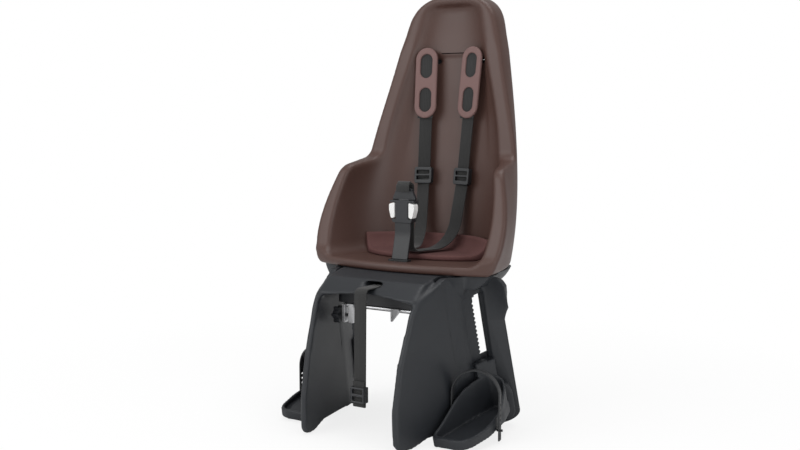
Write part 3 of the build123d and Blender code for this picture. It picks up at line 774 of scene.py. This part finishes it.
# %% [markdown]
# Each footrest is a scoop: a low rim at the toe sweeps up along the inner side to a high heel and
# comes down again at the outer side. The wall is a ring of points extruded to a height that
# changes along it. A second, flat ring gives the plain tread. Both rings are listed in millimetres
# from the toe, across and along the foot, and the wall's also with its height.

# %% Scoop helpers
scoop_wall = [
    (-18, 2, 18), (-33, 7, 20), (-32, 24, 28), (-28, 44, 44), (-24, 64, 59),
    (-20, 84, 68), (-14, 106, 72), (-8, 128, 73), (-1, 144, 72), (12, 149, 69),
    (24, 148, 63), (32, 138, 54), (37, 121, 43), (41, 104, 33), (43, 84, 25),
    (44, 60, 20), (42, 36, 18), (37, 14, 18), (28, 0, 18), (6, 0, 18),
]
tread = [
    (-22, 14), (0, 11), (24, 12), (32, 32), (34, 54),
    (31, 92), (22, 128), (8, 132), (-4, 104), (-14, 60),
]


def raised_ring(name, points, slide, low, heights):
    """A ring extruded once on the spot; each new vertex then goes up to its own height."""
    ring = start_from(
        bpy.ops.mesh.primitive_circle_add, name,
        vertices=len(points), radius=0.05, fill_type="NOTHING",
    )
    for vertex, spot in zip(ring.data.vertices, points):
        vertex.co = spot + slide * low
    with editing():
        bpy.ops.mesh.extrude_region_move(TRANSFORM_OT_translate={"value": (0, 0, 0)})
    feet = [spot + slide * low for spot in points]
    for vertex in ring.data.vertices:
        if vertex.index >= len(points):
            near = min(range(len(points)), key=lambda k: (feet[k] - vertex.co).length)
            vertex.co = points[near] + slide * heights[near]
    return ring


print("scoop of", len(scoop_wall), "points")

# %% [markdown]
# The wall is subdivided smoothly and made solid, the tread's ring is closed, and both are joined
# to a copy of the tray. One skin over all of it turns them into a single smooth moulding. At last
# the toe is drawn forward, most at its tip.

# %% Footrest scoops
rail_slide = (-0.058498, -0.214494, 0.974972)
toe_place = (0.168, tip + 0.062, 0.003)
wall_low = 0.002
wall_thickness = 0.0042
tread_low = 0.003
tread_top = 0.0105
toe_draw = 0.022
toe_end = 90

for name, side in sides.items():
    slide = Vector((rail_slide[0] * side, rail_slide[1], rail_slide[2]))
    across = Vector((side, 0, 0))
    across = (across - across.dot(slide) * slide).normalized()
    along = slide.cross(across) * side
    toe = Vector((side * toe_place[0], toe_place[1], toe_place[2]))

    rim = [toe + across * x / 1000 + along * y / 1000 for x, y, height in scoop_wall]
    rim_heights = [height / 1000 for x, y, height in scoop_wall]
    wall = raised_ring(f"scoop_wall_{name}", rim, slide, wall_low, rim_heights)
    with editing():
        bpy.ops.mesh.normals_make_consistent(inside=False)
        bpy.ops.mesh.subdivide(number_cuts=3, smoothness=1.0)
    apply(wall, "SOLIDIFY", thickness=wall_thickness, offset=-1.0)

    sole = [toe + across * x / 1000 + along * y / 1000 for x, y in tread]
    plate = raised_ring(f"scoop_tread_{name}", sole, slide, tread_low, [tread_top] * len(tread))
    with editing():
        bpy.ops.mesh.fill_holes(sides=0)
        bpy.ops.mesh.normals_make_consistent(inside=False)

    scoop = merged_copy(f"footrest_{name}", f"footrest_{name}_scoop")
    wall.select_set(True)
    plate.select_set(True)
    bpy.ops.object.join()
    relax(scoop, 0.0016, 7)
    for vertex in scoop.data.vertices:
        ahead = 1 - (vertex.co - toe).dot(along) * 1000 / toe_end
        vertex.co.y -= toe_draw * clamped(ahead)
    settle(scoop, f"footrest_{name}")

# %% [markdown]
# The base is one big moulding. The seat shell stands in a shallow cup on top of it, and only the
# lower part of the cup's wall shows on the real seat, so a copy is cut level there. One way of
# rounding doesn't suit all of it: the slide rail has crisp teeth, while the bridge and the fronts
# of the leg guards are round. So the copy is cut in two along the lean of the guards' bend, with
# some overlap, and each half is finished in its own way.

# %% Base helpers
cup_rim = 0.289
bend_lean = 0.22
flare_start = 0.152
flare_share = 0.72
flare_from = 0.16
flare_over = 0.04


def base_half(name, cut, outward):
    half = merged_copy("base", name)
    for spot, normal in (
        ((0, 0, cup_rim), (0, 0, 1)),
        ((0, cut, 0), (0, outward, outward * bend_lean)),
    ):
        with editing():
            bpy.ops.mesh.bisect(plane_co=spot, plane_no=normal, use_fill=True, clear_outer=True)
    return half


def at_flare(spot):
    return clamped((spot.z - flare_from) / flare_over)


def draw_in_flare(half):
    """Where the guards flare at the top, they are drawn in a little."""
    for vertex in half.data.vertices:
        flare = abs(vertex.co.x) - flare_start
        if flare > 0:
            drawn = flare * (1 - (1 - flare_share) * at_flare(vertex.co))
            vertex.co.x = math.copysign(flare_start + drawn, vertex.co.x)


print("cup cut level at", cup_rim, "m")

# %% [markdown]
# The rear half keeps the edges of its solid. Its heel plates, behind the crease of each guard, get
# a little wider in their own plane between the foot and the flare, so their rear edge runs
# straight. Weighted normals keep the flat faces flat beside the small teeth.

# %% Rear of the base
rear_from = -0.030
heel_crease = (0.166, tip + 0.237)
heel_lean = 0.06
heel_way = (0.835, 0.55)
heel_more = 0.008
heel_ramp = 0.012
foot_from = 0.03
foot_over = 0.06
heel_to = 0.24
heel_over = 0.05


def widen_heel(half):
    for vertex in half.data.vertices:
        spot = vertex.co
        side = math.copysign(1, spot.x)
        crease_x = side * (heel_crease[0] - heel_lean * spot.z)
        crease = Vector((crease_x, heel_crease[1] - bend_lean * spot.z, spot.z))
        outward = Vector((side * heel_way[0], heel_way[1], 0))
        reach = clamped((spot - crease).dot(outward) / heel_ramp)
        above_foot = clamped((spot.z - foot_from) / foot_over)
        below_flare = clamped((heel_to - spot.z) / heel_over)
        vertex.co = spot + outward * heel_more * reach * (above_foot * below_flare)


base = base_half("base_moulding", rear_from, -1)
widen_heel(base)
draw_in_flare(base)
bpy.ops.object.shade_smooth_by_angle(angle=math.radians(25))
apply(base, "WEIGHTED_NORMAL", weight=100, keep_sharp=True)
settle(base, "base")
print("rear of the base", len(base.data.polygons), "faces")

# %% [markdown]
# The front half is the bridge with the fronts of the guards. It gets an even skin and is relaxed
# until its arch and its edges are as round as the mould's: most on the bridge, less on the guards,
# and not at all near the bend, where the footrests slide past.

# %% Bridge of the base
front_to = -0.010
guard_bend = -0.034
bend_room = 0.03
guard_weight = 0.3


def at_bridge(spot):
    ahead = clamped((guard_bend - bend_lean * spot.z - spot.y) / bend_room)
    return ahead * (guard_weight + (1 - guard_weight) * at_flare(spot))


bridge = base_half("base_bridge", front_to, 1)
relax(bridge, 0.0022, 2)
draw_in_flare(bridge)
weigh(bridge, "arch", at_bridge)
smooth(bridge, 36, "arch")
dress(bridge, "seat", "base_grey")

# %% [markdown]
# The shell is a blown moulding with a thick rolled rim, and inside the head the rim runs into the
# back with no edge at all. A copy gets an even skin. All of it is relaxed a little, and the head
# much more, so that the rim there melts into the hollow.

# %% Seat shell
head_from = 0.69
head_over = 0.03
shell = merged_copy("seat_shell", "seat_shell_moulding")
relax(shell, 0.003, 4)
weigh(shell, "head", lambda spot: clamped((spot.z - head_from) / head_over))
smooth(shell, 60, "head")
settle(shell, "seat_shell")

# %% [markdown]
# A thin strip of painted shadow closes the back panel at the top, between the shoulder pads, where
# the head's ledge overhangs and casts its shade. Cutting the ledge into the shell would need a far
# finer skin, so the shadow is a narrow dark strip projected onto the shell.

# %% Painted shadow under the ledge
shadow_strip_size = (0.056, 0.0018)
shadow_strip_level = 0.6875
shadow_strip_ahead = -0.05
shadow_strip_lift = 0.0003
shadow_strip_thickness = 0.0004
shadow_strip = start_from(bpy.ops.mesh.primitive_plane_add, "ledge_shadow_strip", size=1)
for vertex in shadow_strip.data.vertices:
    x, y, z = vertex.co
    vertex.co = (shadow_strip_size[0] * x, shadow_strip_ahead, shadow_strip_level + shadow_strip_size[1] * y)
with editing():
    bpy.ops.mesh.subdivide(number_cuts=12)
apply(
    shadow_strip, "SHRINKWRAP", target=shell, wrap_method="PROJECT", offset=shadow_strip_lift,
    use_project_x=False, use_project_y=True, use_project_z=False,
    use_positive_direction=True, use_negative_direction=False,
)
apply(shadow_strip, "SOLIDIFY", thickness=shadow_strip_thickness)
dress(shadow_strip, "seat", "shell_brown")
# The strip keeps the shell's slot in the record but shows the near-black matt shadow finish: a
# painted shadow.
shadow_strip.data.materials[0] = looks["shadow_gap"]
print("panel gap", len(shadow_strip.data.polygons), "faces at y", round(shadow_strip.data.vertices[0].co.y, 3))

# %% [markdown]
# Each strap slot is lined with an eyelet that leaves only the room the webbing needs, so nobody
# looks through the shell. Its black is partly a painted shade: it stands in for the dark hollow
# deep behind the slot. A plane is inset, the inner face is deleted, and the frame that is left is
# set into the slot and made solid.

# %% Slot eyelets
eyelet_half = (0.029, 0.01)
strap_room = (0.0133, 0.0012)
eyelet_depth = 0.012
eyelet_thickness = 0.002
for name, side in sides.items():
    mouth, back = slot_axes(side)
    wide = Vector((side * math.cos(slot_turn), -math.sin(slot_turn), 0))
    centre = mouth + back * eyelet_depth
    shade_eyelet = start_from(bpy.ops.mesh.primitive_plane_add, f"slot_shade_eyelet_{name}", size=2)
    with editing():
        bpy.ops.mesh.inset(thickness=0.4)
        bpy.ops.mesh.delete(type="FACE")
    for vertex in shade_eyelet.data.vertices:
        outer = abs(vertex.co.x) > 0.9
        half = eyelet_half if outer else strap_room
        lift = 0 if outer else tape_thickness / 2
        u = math.copysign(half[0], vertex.co.x)
        v = math.copysign(half[1], vertex.co.y) + lift
        vertex.co = centre + wide * u + Vector((0, 0, v))
    apply(shade_eyelet, "SOLIDIFY", thickness=eyelet_thickness)
    # The eyelet's black finish is partly a painted shade for the slot's dark depth.
    dress(shade_eyelet, "seat", "hardware_black")
    print(shade_eyelet.name, len(shade_eyelet.data.polygons), "faces")
